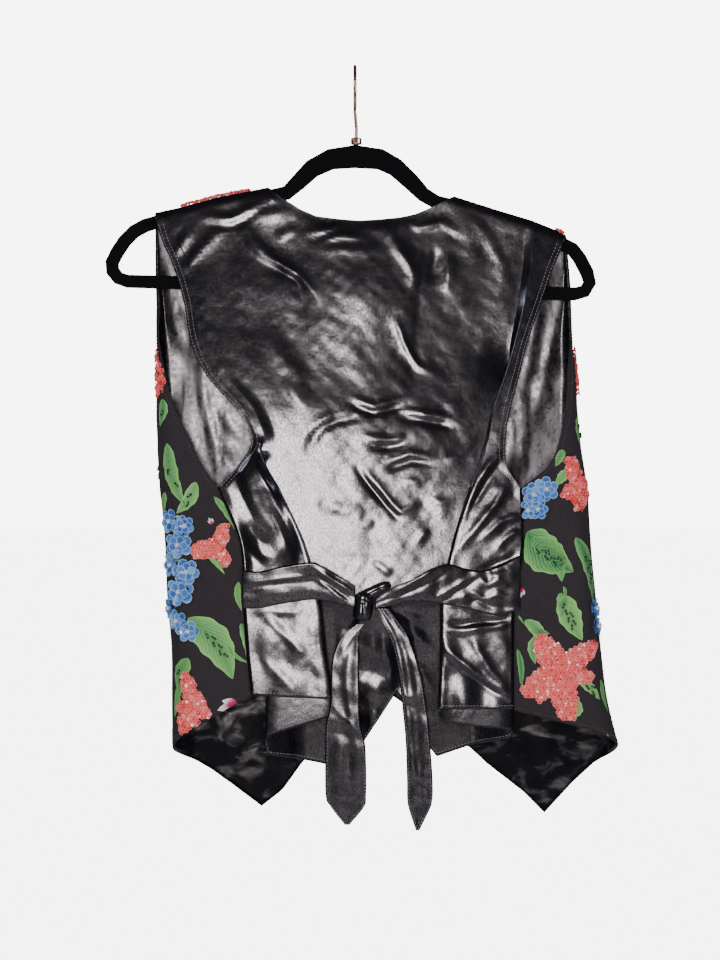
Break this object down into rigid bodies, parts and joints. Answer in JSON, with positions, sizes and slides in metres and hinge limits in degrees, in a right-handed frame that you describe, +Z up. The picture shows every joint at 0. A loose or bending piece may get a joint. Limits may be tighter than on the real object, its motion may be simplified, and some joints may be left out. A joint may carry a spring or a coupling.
{
  "type": "waistcoat on a hanger",
  "caption": "Sleeveless waistcoat with wrapped fronts, pointed hem, and a satin back pulled in by a tied belt, hung flat on a hanger with a wire hook.",
  "frame": {"origin": "the inside of the hook's top, where the hanger hangs on a rail", "axes": "+Z up, the waistcoat's back faces -Y, the wearer's right is at +X"},
  "size_m": [0.4645, 0.0646, 0.6892],
  "materials": {
    "crepe": "matt printed crepe",
    "satin": "glossy black satin",
    "button": "glossy",
    "flock": "flocked",
    "wire": "polished, copper coloured"
  },
  "bodies": {
    "root": {"front_left": "crepe", "front_right": "crepe", "lining_left": "satin", "lining_right": "satin", "back": "satin", "belt_left": "satin", "belt_right": "satin", "knot": "satin", "tie_end_left": "satin", "tie_end_right": "satin", "button_1": "button", "button_2": "button", "button_3": "button", "button_4": "button", "hanger": "flock", "hook_collar": "wire", "hook": "wire"}
  },
  "joints": []
}
